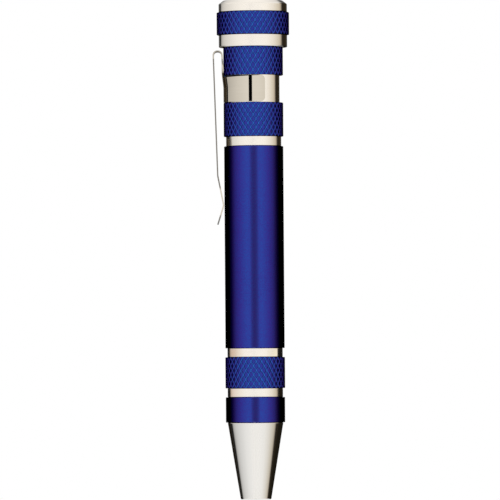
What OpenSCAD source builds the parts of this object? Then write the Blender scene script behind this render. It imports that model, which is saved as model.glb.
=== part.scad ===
// Pocket screwdriver with a spring clip, a swivel cap and a pull-out magazine of spare bits.
// Millimetres. The tool stands upright on its nose: Z runs along its axis and the origin is
// the centre of the nose mouth. The front faces -Y and the clip sits on the -X side.

/* [Nose and socket] */
// Height of the nose cone
nose_h = 19.2; // [14:0.1:28]
// Radius of the cone at its mouth
nose_tip_r = 3.8; // [3.6:0.05:4.6]
// How far the top of the cone stands out past the tube
nose_lip = 0.4; // [0.1:0.05:0.8]
// Length of the round mouth before the hexagon starts
mouth_h = 4; // [2:0.1:5]
// Wall of the hexagonal socket insert outside its corners
socket_wall = 0.73; // [0.5:0.01:0.8]
// Length of the hexagonal socket insert
socket_h = 12; // [8:0.1:14]
// Height of the magnet behind the socket
magnet_h = 3; // [2:0.1:6]
// Length of the nose's spigot inside the tube
spigot_h = 8.3; // [5:0.1:14]

/* [Handle] */
// Wall of the plated core tube, which shows at the clip seat
tube_wall = 0.45; // [0.3:0.05:0.5]
// Wall of the smooth coloured sleeves over the tube
sleeve_wall = 0.85; // [0.5:0.05:1.5]
// Wall of the bright rings over the tube
ring_wall = 0.35; // [0.3:0.05:0.8]
// Height of the smooth sleeve above the nose
band_h = 6.3; // [4:0.1:10]
// Height of the bright rings either side of the grip
ring_h = 2.25; // [1.5:0.05:4]
// Height of the long smooth sleeve
barrel_h = 50.45; // [42:0.1:70]
// Height of the bright ring above the long sleeve
mid_ring_h = 2.45; // [1.5:0.05:4]
// Height of the bare tube that the clip wraps round
seat_h = 6.75; // [5.5:0.05:9]
// Bevel on the edges of sleeves, rings and the nose
edge_c = 0.25; // [0.1:0.05:0.3]

/* [Knurled collars] */
// Wall of the collars over the tube, measured to their crests
collar_wall = 0.9; // [0.6:0.05:1.5]
// Height of the grip collar above the nose
grip_h = 7.75; // [5:0.05:14]
// Height of the collar below the clip
mid_h = 8.65; // [5:0.05:14]
// Height of the collar above the clip
upper_h = 6.75; // [6:0.05:10]
// Width of one diamond round the collar
knurl_pitch = 1.35; // [1.1:0.05:2.5]
// Height of one diamond along the axis
knurl_rise = 2.25; // [1.5:0.05:4]
// Depth from crest to root
knurl_depth = 0.3; // [0.15:0.05:0.4]

/* [Swivel cap] */
// How far the bright bands of the cap stand out past the collars
cap_lip = 1.1; // [0.6:0.05:2]
// How far the crests of the cap's grip ring stand out past those bands
cap_grip_lip = 0.51; // [0.1:0.01:1]
// Height of the lower bright band
cap_base_h = 2.9; // [2:0.05:5]
// Height of the grip ring
cap_grip_h = 5.6; // [5.2:0.05:9]
// Height of the bright crown
cap_top_h = 3; // [2:0.05:5]
// Width of the bevel round the crown
crown_bevel_w = 1.2; // [0.4:0.05:1.8]
// Height of the bevel round the crown
crown_bevel_h = 0.9; // [0.4:0.05:1.2]
// Depth of the hub below the bright bands, which the grip ring fills
hub_step = 0.95; // [0.5:0.05:1.2]
// Thickness of the hub's floor above the lower bright band
hub_floor_h = 1.5; // [0.8:0.05:2]
// Radius of the stem that the cap turns on
stem_r = 2.5; // [2:0.05:3]

/* [Magazine] */
// Length of the plug inside the tube
plug_h = 8.3; // [7.5:0.1:12]
// How far the thin flange that rests on the handle stands out past the tube
flange_lip = 0.45; // [0.2:0.05:0.6]
// Thickness of that flange
flange_h = 0.3; // [0.2:0.05:0.5]
// Thickness of the discs between the tiers of bits
disc_h = 1.2; // [0.8:0.05:2]
// Radius of the column that is left between the four bits of a tier
column_r = 1.6; // [1.4:0.05:2.4]
// Edge that the discs leave outside the bits
bit_inset = 0.35; // [0.2:0.05:0.8]
// How far the rack's core, which has the four channels, is set back from its discs
rack_step = 1.25; // [0.9:0.05:1.8]

/* [Bits] */
// Width across the flats of the bits
bit_af = 4; // [3.2:0.05:4.1]
// Length of a bit
bit_h = 28; // [24:0.5:29]
// Length of the hexagonal shank
shank_h = 16; // [12:0.5:18]
// Widths of the four slotted tips
slot_widths = [1.5, 2, 2.5, 3]; // [1:0.1:3.4]
// Diameters of the four cross tips
cross_widths = [1.5, 2, 2.5, 3]; // [1:0.1:3.4]

/* [Clip] */
// Thickness of the spring sheet
clip_t = 0.4; // [0.3:0.02:0.5]
// Width of the arm at its loop
arm_w = 3.8; // [3:0.1:4.6]
// Width of the arm at its tip
arm_tip_w = 3; // [2:0.1:3.8]
// Distance between the two strands of the loop
loop_w = 2.15; // [1.6:0.05:3]
// Height of the loop's top above the clip seat
loop_rise = 6.2; // [5:0.05:6.6]
// Distance from the loop's top down to the bend where the arm dips to the barrel
arm_drop = 31.95; // [22:0.05:36]
// How far the arm's sheet stands out at that bend, past the touching point
arm_bend_out = 1.32; // [0.6:0.01:2]
// Height of the dip from that bend to the touching point
dip_h = 6.4; // [4:0.05:9]
// Height of the flared tip below the touching point
tip_h = 4.7; // [3:0.05:6]
// How far the flared tip stands out past the touching point
tip_out = 1.37; // [0.6:0.01:2.4]
// How far the wings reach past the front and back of the tube
wing_angle = 27; // [10:1:40]
// Corner radius of the wings
wing_corner_r = 1.1; // [0.4:0.05:2]

/* [Fits] */
// Gap between pieces that are bonded or pressed together
bond_gap = 0.02; // [0.01:0.01:0.04]
// Gap between the magazine's plug and the tube
plug_gap = 0.05; // [0.03:0.01:0.09]
// Gap between the cap's bore and the stem
turn_gap = 0.05; // [0.03:0.01:0.09]
// Gap between the rack's discs and the tube
disc_gap = 0.15; // [0.1:0.01:0.25]
// Gap between a bit and its channel or socket
bit_gap = 0.05; // [0.03:0.01:0.08]
// Gap above a bit in its channel
bit_end_gap = 0.6; // [0.3:0.1:1]
// Gap between the corners of a bit and the round mouth
mouth_gap = 0.14; // [0.08:0.01:0.2]
// Gap between the clip's sheet and the pieces that it only passes
clip_gap = 0.08; // [0.05:0.01:0.2]

/* [Hidden] */
$fn = 96;
// Overrun of every cut past the face that it opens
over = 0.5;

// The handle is sized by the bits that it holds: four round a column, in a tube
disc_r = column_r + bit_af + bit_inset;
bore_r = disc_r + disc_gap;
tube_r = bore_r + tube_wall;

// Levels along the axis, from the nose up
z_band = nose_h;
z_ring_1 = z_band + band_h;
z_grip = z_ring_1 + ring_h;
z_ring_2 = z_grip + grip_h;
z_barrel = z_ring_2 + ring_h;
z_mid_ring = z_barrel + barrel_h;
z_mid = z_mid_ring + mid_ring_h;
z_seat = z_mid + mid_h;
z_upper = z_seat + seat_h;
z_flange = z_upper + upper_h;
z_stem = z_flange + flange_h;
z_base = z_stem + 2 * turn_gap;
z_cap_grip = z_base + cap_base_h;
z_crown = z_cap_grip + cap_grip_h;

// Radii of the pieces round the tube
nose_top_r = tube_r + nose_lip;
sleeve_r = tube_r + sleeve_wall;
ring_r = tube_r + ring_wall;
collar_r = tube_r + collar_wall;
sleeve_bore_r = tube_r + bond_gap;
cap_r = collar_r + cap_lip;
cap_grip_r = cap_r + cap_grip_lip;
hub_r = cap_r - hub_step;

// Nose and socket
spigot_r = bore_r - bond_gap;
mouth_r = bit_af / (2 * cos(30)) + mouth_gap;
socket_af = bit_af + 2 * bit_gap;
socket_r = socket_af / (2 * cos(30)) + socket_wall;
socket_seat_r = socket_r + bond_gap;
z_magnet = mouth_h + socket_h;
magnet_c = 0.3;

// Plug, stem and cap hub
plug_r = bore_r - plug_gap;
plug_c = 0.4;
z_plug = z_flange - plug_h;
flange_r = tube_r + flange_lip;
o_ring_t = 1;
o_ring_r = plug_r - o_ring_t / 2 + bond_gap;
groove_slack = 0.2;
groove_h = o_ring_t + groove_slack;
groove_floor_r = o_ring_r - o_ring_t / 2 - bond_gap;
groove_drop = 1.6;
z_groove = z_flange - groove_drop - groove_h;
z_hub_floor = z_cap_grip + hub_floor_h;
z_stem_top = z_hub_floor + 2 * turn_gap;
cup_wall = 2.6;
cup_r = hub_r - cup_wall;
washer_lip = 1.1;
washer_r = stem_r + washer_lip;
washer_h = 0.5;
screw_r = 1;
screw_depth = 5.6;
screw_head_r = 1.95;
screw_head_h = 1.15;
crown_spigot_h = 1.2;
recess_w = 0.5;
recess_span = 2.2;
recess_depth = 0.6;

// Rack and bits
tier_h = bit_h + bit_end_gap;
boss_r = 2.95;
boss_h = 5.2;
pin_r = 0.75;
pin_rise = 2.4;
z_rack = z_plug - 2 * tier_h - 3 * disc_h;
rack_core_r = disc_r - rack_step;
bit_pitch_r = column_r + bit_af / 2;
shank_c = 0.35;
neck_extra_r = 0.25;
blade_share = 0.22;
blade_h = 6;
web_share = 0.24;
flute_lean = 14;

// Clip
clip_r = tube_r + bond_gap + clip_t / 2;
plate_x = collar_r + clip_gap + clip_t / 2;
flare_w = 0.85;
flare_h = 2.4;
flare_r = (flare_h * flare_h + flare_w * flare_w) / (2 * flare_w);
wing_gap = 0.12;
z_wing = z_seat + wing_gap;
z_wing_top = z_upper - wing_gap;
z_flare = z_wing_top + flare_h;
z_loop = z_upper + loop_rise - clip_t / 2;
strand_lean = 3.4;
strand_x = plate_x + (z_loop - z_flare) * tan(strand_lean);
loop_x = strand_x + loop_w / 2;
loop_round_share = 0.97;
loop_bend_r = loop_round_share * (loop_w / 2) / tan(45 + strand_lean / 2);
dip_bend_r = 3;
tip_bend_r = 1.6;
z_arm_bend = z_upper + loop_rise - arm_drop;
z_touch = z_arm_bend - dip_h;
touch_x = sleeve_r + clip_gap + clip_t / 2;
arm_bend_x = touch_x + arm_bend_out;
tip_x = touch_x + tip_out;
arc_step = 6;

// Colours as the photograph shows them
blue = [0.16, 0.19, 0.56];
plated = [0.87, 0.84, 0.78];
steel = [0.62, 0.63, 0.64];
black_plastic = [0.09, 0.09, 0.1];
rubber = [0.05, 0.05, 0.05];

// A turned ring with bevelled outer edges
module turned_ring(z, h, r, bore, c = edge_c) {
    translate([0, 0, z])
        rotate_extrude()
            polygon([[bore, 0], [r - c, 0], [r, c], [r, h - c], [r - c, h], [bore, h]]);
}

// A hexagonal prism with two flats facing along X
module hex_prism(af, h) {
    rotate([0, 0, 30])
        cylinder(r = af / (2 * cos(30)), h = h, $fn = 6);
}

// Diamond knurl: a grid of points round the sleeve whose radius is the crest at every second
// point, like a chessboard, and the root at the others. Each cell is split along its two root
// points, so that every crest becomes a four-sided pyramid. A true bore is cut at the end.
module knurled_ring(z, h, r, bore) {
    cols = 2 * round(2 * PI * r / knurl_pitch);
    rows = max(2, round(2 * h / knurl_rise));
    inner_r = bore - over;
    base = (rows + 1) * cols;
    function at(i, j) = j * cols + i % cols;
    function crest(i, j) = (i + j) % 2 == 0;
    function crest_r(j) = j == 0 || j == rows ? r - knurl_depth / 2 : r;
    function level_r(i, j) = crest(i, j) ? crest_r(j) : r - knurl_depth;
    function spot(radius, i, level) =
        [radius * cos(i * 360 / cols), radius * sin(i * 360 / cols), level];
    points = concat(
        [for (j = [0:rows]) for (i = [0:cols - 1]) spot(level_r(i, j), i, z + h * j / rows)],
        [for (level = [z, z + h]) for (i = [0:cols - 1]) spot(inner_r, i, level)]
    );
    // Corners of one cell: lower left, upper left, upper right, lower right
    cells = [for (j = [0:rows - 1]) for (i = [0:cols - 1])
        for (half = crest(i, j)
            ? [
                [at(i, j), at(i, j + 1), at(i + 1, j)],
                [at(i, j + 1), at(i + 1, j + 1), at(i + 1, j)]
            ]
            : [
                [at(i, j), at(i, j + 1), at(i + 1, j + 1)],
                [at(i, j), at(i + 1, j + 1), at(i + 1, j)]
            ])
            half];
    low = [for (i = [0:cols - 1]) [at(i, 0), at(i + 1, 0), base + (i + 1) % cols, base + i]];
    high = [for (i = [0:cols - 1]) [
        at(i, rows), base + cols + i, base + cols + (i + 1) % cols, at(i + 1, rows)]];
    wall = [for (i = [0:cols - 1]) [
        base + i, base + (i + 1) % cols, base + cols + (i + 1) % cols, base + cols + i]];
    difference() {
        polyhedron(points, concat(cells, low, high, wall));
        translate([0, 0, z - over]) cylinder(r = bore, h = h + 2 * over);
    }
}

// Sheet path: points with a heading. Corners of a bent line are rounded to a radius.
function unit(v) = v / norm(v);
function heading(v) = atan2(v[1], v[0]);
function wrapped(a) = a > 180 ? a - 360 : (a < -180 ? a + 360 : a);
function turn(line, i) = wrapped(heading(line[i + 1] - line[i]) - heading(line[i] - line[i - 1]));
function arc(centre, r, from, sweep) =
    let (steps = max(2, ceil(abs(sweep) / arc_step)))
    [for (k = [0:steps])
        let (a = from + sweep * k / steps)
        [centre[0] + r * cos(a), centre[1] + r * sin(a), a + (sweep > 0 ? 90 : -90)]];
function corner(line, r, i) =
    let (
        sweep = turn(line, i),
        way = unit(line[i] - line[i - 1]),
        side = sweep > 0 ? 1 : -1,
        start = line[i] - way * r * tan(abs(sweep) / 2),
        centre = start + side * r * [-way[1], way[0]]
    )
    arc(centre, r, heading(start - centre), sweep);
function with_heading(p, v) = [p[0], p[1], heading(v)];
function bent_line(line, radii) =
    let (last = len(line) - 1)
    concat(
        [with_heading(line[0], line[1] - line[0])],
        [for (i = [1:1:last - 1]) each corner(line, radii[i - 1], i)],
        [with_heading(line[last], line[last] - line[last - 1])]
    );
function beside(path, d) = [for (q = path) [q[0] - d * sin(q[2]), q[1] + d * cos(q[2])]];
function reversed(list) = [for (i = [len(list) - 1:-1:0]) list[i]];

// The outline of a sheet of thickness t that follows the path
module sheet_outline(path, t) {
    polygon(concat(beside(path, t / 2), reversed(beside(path, -t / 2))));
}

// A side profile drawn in X and Z, made w wide along Y
module across_y(w) {
    rotate([90, 0, 0]) linear_extrude(height = w, center = true) children();
}

// An outline drawn in Y and Z, carried along X from x0 to x1
module along_x(x0, x1) {
    translate([x0, 0, 0]) rotate([90, 0, 90]) linear_extrude(height = x1 - x0) children();
}

// The clip's band seen from above: a wing on the tube, a short flat, a half turn that stands
// out far enough for the strand to clear the collar, and the same again
function band_path() = concat(
    arc([0, 0], clip_r, 90 - wing_angle, wing_angle),
    arc([clip_r - plate_x, 0], clip_r, 90, 180),
    arc([0, 0], clip_r, 270, wing_angle)
);

// The arm seen from the back: half of the loop, the long run, the dip and the flared tip
function strand_line() = [
    [-plate_x, z_wing_top], [-plate_x, z_flare], [-strand_x, z_loop], [-loop_x, z_loop]
];
function arm_line() = [
    [-loop_x, z_loop], [-loop_x - loop_w / 2, z_loop], [-arm_bend_x, z_arm_bend],
    [-touch_x, z_touch], [-tip_x, z_touch - tip_h]
];

module nose_cone() {
    color(plated)
        rotate_extrude()
            polygon([
                [mouth_r, 0], [nose_tip_r - edge_c, 0], [nose_tip_r, edge_c],
                [nose_top_r, nose_h - edge_c], [nose_top_r - edge_c, nose_h],
                [spigot_r, nose_h], [spigot_r, nose_h + spigot_h],
                [socket_seat_r, nose_h + spigot_h], [socket_seat_r, mouth_h], [mouth_r, mouth_h]
            ]);
}

module bit_socket() {
    color(steel)
        translate([0, 0, mouth_h])
            difference() {
                cylinder(r = socket_r, h = socket_h);
                translate([0, 0, -over]) hex_prism(socket_af, socket_h + 2 * over);
            }
}

module socket_magnet() {
    color(steel) turned_ring(z_magnet, magnet_h, socket_r, 0, magnet_c);
}

module core_tube() {
    color(plated) turned_ring(z_band, z_flange - z_band, tube_r, bore_r, tube_wall / 3);
}

module nose_sleeve() {
    color(blue) turned_ring(z_band, band_h, sleeve_r, sleeve_bore_r);
}

module grip_ring_lower() {
    color(plated) turned_ring(z_ring_1, ring_h, ring_r, sleeve_bore_r);
}

module grip_collar() {
    color(blue) knurled_ring(z_grip, grip_h, collar_r, sleeve_bore_r);
}

module grip_ring_upper() {
    color(plated) turned_ring(z_ring_2, ring_h, ring_r, sleeve_bore_r);
}

module barrel_sleeve() {
    color(blue) turned_ring(z_barrel, barrel_h, sleeve_r, sleeve_bore_r);
}

module middle_ring() {
    color(plated) turned_ring(z_mid_ring, mid_ring_h, ring_r, sleeve_bore_r);
}

module middle_collar() {
    color(blue) knurled_ring(z_mid, mid_h, collar_r, sleeve_bore_r);
}

module upper_collar() {
    color(blue) knurled_ring(z_upper, upper_h, collar_r, sleeve_bore_r);
}

// The front view of the wings: a strip with rounded corners at its free end
module wing_outline() {
    end_x = clip_r * sin(wing_angle) + clip_t / 2;
    height = z_wing_top - z_wing;
    translate([-plate_x - over, z_wing]) square([plate_x + over + end_x - wing_corner_r, height]);
    translate([0, z_wing + wing_corner_r]) square([end_x, height - 2 * wing_corner_r]);
    for (z = [z_wing + wing_corner_r, z_wing_top - wing_corner_r])
        translate([end_x - wing_corner_r, z]) circle(r = wing_corner_r);
}

// The side view of the root: the strand widens into the band through two fillets
module flare_outline() {
    half_w = arm_w / 2 + flare_w;
    difference() {
        translate([-half_w, z_wing]) square([2 * half_w, z_flare - z_wing]);
        for (side = [-1, 1])
            translate([side * (arm_w / 2 + flare_r), z_flare]) circle(r = flare_r);
    }
}

module clip_band() {
    color(plated) {
        intersection() {
            linear_extrude(height = z_flare) sheet_outline(band_path(), clip_t);
            union() {
                across_y(4 * plate_x) wing_outline();
                along_x(-plate_x - over, -clip_r / 2) flare_outline();
            }
        }
        across_y(arm_w) sheet_outline(bent_line(strand_line(), [loop_w, loop_bend_r]), clip_t);
    }
}

// The side view of the arm: it tapers to a round tip
module arm_outline() {
    end_r = arm_tip_w / 2;
    z_end = z_touch - tip_h + end_r - clip_t / 2;
    polygon([
        [-arm_w / 2, z_loop + over], [-end_r, z_end], [end_r, z_end], [arm_w / 2, z_loop + over]
    ]);
    translate([0, z_end]) circle(r = end_r);
}

module clip_arm() {
    color(plated)
        intersection() {
            across_y(arm_w)
                sheet_outline(
                    bent_line(arm_line(), [loop_bend_r, dip_bend_r, tip_bend_r]), clip_t);
            along_x(-plate_x - 2 * loop_w, 0) arm_outline();
        }
}

module magazine_plug() {
    color(black_plastic)
        difference() {
            rotate_extrude()
                polygon([
                    [0, z_plug], [plug_r - plug_c, z_plug], [plug_r, z_plug + plug_c],
                    [plug_r, z_groove], [groove_floor_r, z_groove],
                    [groove_floor_r, z_groove + groove_h], [plug_r, z_groove + groove_h],
                    [plug_r, z_flange], [flange_r, z_flange], [flange_r, z_stem],
                    [stem_r, z_stem], [stem_r, z_stem_top], [0, z_stem_top]
                ]);
            translate([0, 0, z_plug - over]) cylinder(r = boss_r + bond_gap, h = boss_h + over);
            translate([0, 0, z_stem_top - screw_depth]) cylinder(r = screw_r, h = screw_depth + over);
            pin_hole();
        }
}

// The hole for the cross pin, through plug and rack
module pin_hole() {
    translate([-plug_r - over, 0, z_plug + pin_rise])
        rotate([0, 90, 0]) cylinder(r = pin_r + bond_gap, h = 2 * (plug_r + over));
}

module plug_o_ring() {
    color(rubber)
        translate([0, 0, z_groove + groove_h / 2])
            rotate_extrude() translate([o_ring_r, 0]) circle(r = o_ring_t / 2);
}

// Where one bit stands: tier 0 is the lower one, and there are four places in each tier
module in_rack(tier, place) {
    rotate([0, 0, 45 + 90 * place])
        translate([bit_pitch_r, 0, z_rack + disc_h + tier * (tier_h + disc_h)])
            children();
}

// Half the section of the rack before its channels are cut: a core, three discs and a boss
function rack_profile() = concat(
    [[0, z_rack]],
    [for (level = [0:2])
        let (z = z_rack + level * (tier_h + disc_h), top = z + disc_h)
        each [
            [rack_core_r, z], [disc_r - edge_c, z], [disc_r, z + edge_c],
            [disc_r, top - edge_c], [disc_r - edge_c, top], [rack_core_r, top]
        ]],
    [[boss_r, z_plug], [boss_r, z_plug + boss_h - bond_gap], [0, z_plug + boss_h - bond_gap]]
);

module bit_rack() {
    color(black_plastic)
        difference() {
            rotate_extrude() polygon(rack_profile());
            for (tier = [0, 1])
                for (place = [0:3])
                    in_rack(tier, place) hex_prism(socket_af, tier_h);
            pin_hole();
        }
}

module rack_pin() {
    color(steel)
        translate([-plug_r + plug_gap, 0, z_plug + pin_rise])
            rotate([0, 90, 0]) cylinder(r = pin_r, h = 2 * (plug_r - plug_gap));
}

module swivel_washer() {
    color(steel) turned_ring(z_stem_top, washer_h, washer_r, screw_r + bond_gap, washer_h / 5);
}

module swivel_screw() {
    z_head = z_stem_top + washer_h;
    z_point = z_stem_top - screw_depth + screw_r;
    color(steel)
        difference() {
            rotate_extrude()
                polygon([
                    [0, z_point], [screw_r - bond_gap, z_point],
                    [screw_r - bond_gap, z_head], [screw_head_r, z_head],
                    [screw_head_r, z_head + screw_head_h / 2],
                    [screw_head_r / 2, z_head + screw_head_h], [0, z_head + screw_head_h]
                ]);
            for (a = [0, 90])
                rotate([0, 0, a])
                    translate([-recess_span / 2, -recess_w / 2, z_head + screw_head_h - recess_depth])
                        cube([recess_span, recess_w, recess_depth + over]);
        }
}

module cap_base() {
    bore = stem_r + turn_gap;
    c = 2 * edge_c;
    color(plated)
        rotate_extrude()
            polygon([
                [bore, z_base], [cap_r - c, z_base], [cap_r, z_base + c],
                [cap_r, z_cap_grip - c], [cap_r - c, z_cap_grip], [hub_r, z_cap_grip],
                [hub_r, z_crown - edge_c / 2], [hub_r - edge_c / 2, z_crown],
                [cup_r, z_crown], [cup_r, z_hub_floor], [bore, z_hub_floor]
            ]);
}

module cap_grip_ring() {
    color(blue) knurled_ring(z_cap_grip, cap_grip_h, cap_grip_r, hub_r + bond_gap);
}

module cap_crown() {
    spigot = cup_r - bond_gap;
    color(plated)
        translate([0, 0, z_crown])
            rotate_extrude()
                polygon([
                    [0, -crown_spigot_h], [spigot, -crown_spigot_h], [spigot, 0],
                    [cap_r - edge_c, 0], [cap_r, edge_c], [cap_r, cap_top_h - crown_bevel_h],
                    [cap_r - crown_bevel_w, cap_top_h], [0, cap_top_h]
                ]);
}

// A hexagonal shank with turned ends, and a round neck that carries the tip
module bit_blank(neck_r) {
    corner_r = bit_af / (2 * cos(30));
    intersection() {
        hex_prism(bit_af, bit_h);
        rotate_extrude()
            polygon([
                [0, 0], [corner_r - shank_c, 0], [corner_r, shank_c], [corner_r, shank_h - shank_c],
                [neck_r, shank_h + corner_r - neck_r], [neck_r, bit_h], [0, bit_h]
            ]);
    }
}

// The neck narrows to a flat blade of the given width
module slotted_bit(width) {
    neck_r = width / 2 + neck_extra_r;
    blade = width * blade_share;
    intersection() {
        bit_blank(neck_r);
        union() {
            translate([-bit_af, -bit_af, 0]) cube([2 * bit_af, 2 * bit_af, bit_h - blade_h]);
            rotate([90, 0, 0])
                linear_extrude(height = width, center = true)
                    polygon([
                        [-neck_r, bit_h - blade_h], [-blade / 2, bit_h], [blade / 2, bit_h],
                        [neck_r, bit_h - blade_h]
                    ]);
        }
    }
}

// The neck ends in a cone that is cut by four flutes, which leave a cross
module cross_bit(width) {
    neck_r = width / 2 + neck_extra_r;
    web = width * web_share;
    difference() {
        intersection() {
            bit_blank(neck_r);
            translate([0, 0, bit_h - 2 * neck_r])
                rotate([180, 0, 0])
                    rotate_extrude()
                        polygon([
                            [0, -2 * neck_r], [web, -2 * neck_r], [neck_r, 0], [bit_af, 0],
                            [bit_af, bit_h], [0, bit_h]
                        ]);
        }
        for (a = [45:90:315])
            rotate([0, 0, a])
                translate([web * sqrt(2) / 2, 0, bit_h])
                    rotate([0, -flute_lean, 0])
                        rotate([180, 0, -45])
                            translate([0, -bit_af, -over]) cube([bit_af, bit_af, bit_af * 2 + over]);
    }
}

module rack_bit(tier, place) {
    color(steel) in_rack(tier, place) {
        if (tier == 0) slotted_bit(slot_widths[place]);
        else cross_bit(cross_widths[place]);
    }
}

nose_cone();
bit_socket();
socket_magnet();
core_tube();
nose_sleeve();
grip_ring_lower();
grip_collar();
grip_ring_upper();
barrel_sleeve();
middle_ring();
middle_collar();
upper_collar();
clip_band();
clip_arm();
magazine_plug();
plug_o_ring();
bit_rack();
rack_pin();
swivel_washer();
swivel_screw();
cap_base();
cap_grip_ring();
cap_crown();
rack_bit(0, 0);  // bit_slotted_1
rack_bit(0, 1);  // bit_slotted_2
rack_bit(0, 2);  // bit_slotted_3
rack_bit(0, 3);  // bit_slotted_4
rack_bit(1, 0);  // bit_cross_1
rack_bit(1, 1);  // bit_cross_2
rack_bit(1, 2);  // bit_cross_3
rack_bit(1, 3);  // bit_cross_4
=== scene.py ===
import math

import bmesh
import bpy
import numpy as np
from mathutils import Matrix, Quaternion, Vector


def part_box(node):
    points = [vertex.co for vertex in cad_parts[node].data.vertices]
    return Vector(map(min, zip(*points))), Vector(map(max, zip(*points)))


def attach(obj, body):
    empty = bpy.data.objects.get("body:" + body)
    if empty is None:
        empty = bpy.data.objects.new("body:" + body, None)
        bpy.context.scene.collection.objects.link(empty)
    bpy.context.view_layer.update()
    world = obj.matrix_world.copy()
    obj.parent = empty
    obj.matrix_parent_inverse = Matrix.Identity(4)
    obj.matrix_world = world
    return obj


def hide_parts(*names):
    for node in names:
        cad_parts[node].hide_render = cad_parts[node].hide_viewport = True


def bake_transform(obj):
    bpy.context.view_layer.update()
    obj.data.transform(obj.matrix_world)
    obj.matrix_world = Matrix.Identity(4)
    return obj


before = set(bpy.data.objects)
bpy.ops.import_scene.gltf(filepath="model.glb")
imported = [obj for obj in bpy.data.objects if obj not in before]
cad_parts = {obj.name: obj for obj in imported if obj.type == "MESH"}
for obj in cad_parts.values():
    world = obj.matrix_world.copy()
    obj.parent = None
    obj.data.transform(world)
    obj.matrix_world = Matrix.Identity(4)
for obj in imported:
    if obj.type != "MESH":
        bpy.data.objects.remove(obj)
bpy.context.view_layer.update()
print("frame loaded:", len(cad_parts), "nodes")

mm = 0.001


# Node helpers

# Links each input to a socket, or sets its value
def fill(tree, made, inputs):
    for key, value in inputs.items():
        if isinstance(value, bpy.types.NodeSocket):
            tree.links.new(value, made.inputs[key])
        else:
            made.inputs[key].default_value = value


def addNode(tree, kind, inputs=None, **settings):
    made = tree.nodes.new(kind)
    for name, value in settings.items():
        setattr(made, name, value)
    fill(tree, made, inputs or {})
    return made


def calc(tree, operation, *values, clamp=False):
    return addNode(tree, "ShaderNodeMath", dict(enumerate(values)), operation=operation,
                   use_clamp=clamp).outputs[0]


# A smooth step from one range of values to another
def mapped(tree, value, fromLow, fromHigh, toLow=0.0, toHigh=1.0):
    return addNode(tree, "ShaderNodeMapRange", {
        "Value": value, "From Min": fromLow, "From Max": fromHigh,
        "To Min": toLow, "To Max": toHigh}, interpolation_type="SMOOTHSTEP").outputs["Result"]


# A grey level or a colour as four channels
def fullColor(level):
    return (*level, 1) if isinstance(level, tuple) else (level, level, level, 1)


# A colour ramp over stops of (position, level)
def ramp(tree, value, stops):
    made = addNode(tree, "ShaderNodeValToRGB", {"Fac": value})
    elements = made.color_ramp.elements
    elements[0].position, elements[1].position = stops[0][0], stops[-1][0]
    elements[0].color, elements[1].color = fullColor(stops[0][1]), fullColor(stops[-1][1])
    for position, level in stops[1:-1]:
        elements.new(position).color = fullColor(level)
    return made.outputs["Color"]


# Two colours, each a socket or a level, mixed by a factor. Sockets 6 and 7 of a Mix node are
# its colours.
def blended(tree, factor, first, second, mode="MIX"):
    first, second = (side if isinstance(side, bpy.types.NodeSocket) else fullColor(side)
                     for side in (first, second))
    return addNode(tree, "ShaderNodeMix", {"Factor": factor, 6: first, 7: second},
                   data_type="RGBA", blend_type=mode).outputs[2]


# An empty node group with its named sockets, and its input and output nodes
def newGroup(name, inputs, outputs):
    group = bpy.data.node_groups.new(name, "ShaderNodeTree")
    for label, kind, start in inputs:
        socket = group.interface.new_socket(label, in_out="INPUT", socket_type=kind)
        if start is not None:
            socket.default_value = start
    for label, kind in outputs:
        group.interface.new_socket(label, in_out="OUTPUT", socket_type=kind)
    return group, group.nodes.new("NodeGroupInput"), group.nodes.new("NodeGroupOutput")


def useGroup(tree, group, inputs):
    return addNode(tree, "ShaderNodeGroup", inputs, node_tree=group).outputs


# Fine rings that a lathe leaves: noise over radius and height, nearly constant round the axis
grainShape = {"density": 9000.0, "detail": 3.0, "roughness": 0.6, "roundAxis": 1.4}


def buildTurnedGrain():
    group, start, end = newGroup(
        "turnedGrain",
        [("Vector", "NodeSocketVector", None),
         ("Density", "NodeSocketFloat", grainShape["density"]),
         ("Detail", "NodeSocketFloat", grainShape["detail"])],
        [("Grain", "NodeSocketFloat")])
    parts = addNode(group, "ShaderNodeSeparateXYZ", {"Vector": start.outputs["Vector"]})
    x, y, z = (parts.outputs[axis] for axis in "XYZ")
    radius = calc(group, "SQRT", calc(group, "ADD", calc(group, "MULTIPLY", x, x),
                                      calc(group, "MULTIPLY", y, y)))
    angle = calc(group, "ARCTAN2", y, x)
    place = addNode(group, "ShaderNodeCombineXYZ", {
        "X": calc(group, "MULTIPLY", radius, start.outputs["Density"]),
        "Y": calc(group, "MULTIPLY", z, start.outputs["Density"]),
        "Z": calc(group, "MULTIPLY", calc(group, "SINE", angle), grainShape["roundAxis"])})
    noise = addNode(group, "ShaderNodeTexNoise", {
        "Vector": place.outputs[0], "Scale": 1.0, "Detail": start.outputs["Detail"],
        "Roughness": grainShape["roughness"]})
    fill(group, end, {"Grain": noise.outputs["Fac"]})
    return group


# Soft handling marks: broad noise broken up by finer noise
smudgeShape = {"scale": 90.0, "broadDetail": 2.0, "distortion": 0.6, "broadEdge": (0.42, 0.68),
               "finer": 9.0, "fineDetail": 4.0, "fineEdge": (0.3, 0.7), "fineLow": 0.35}


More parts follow.
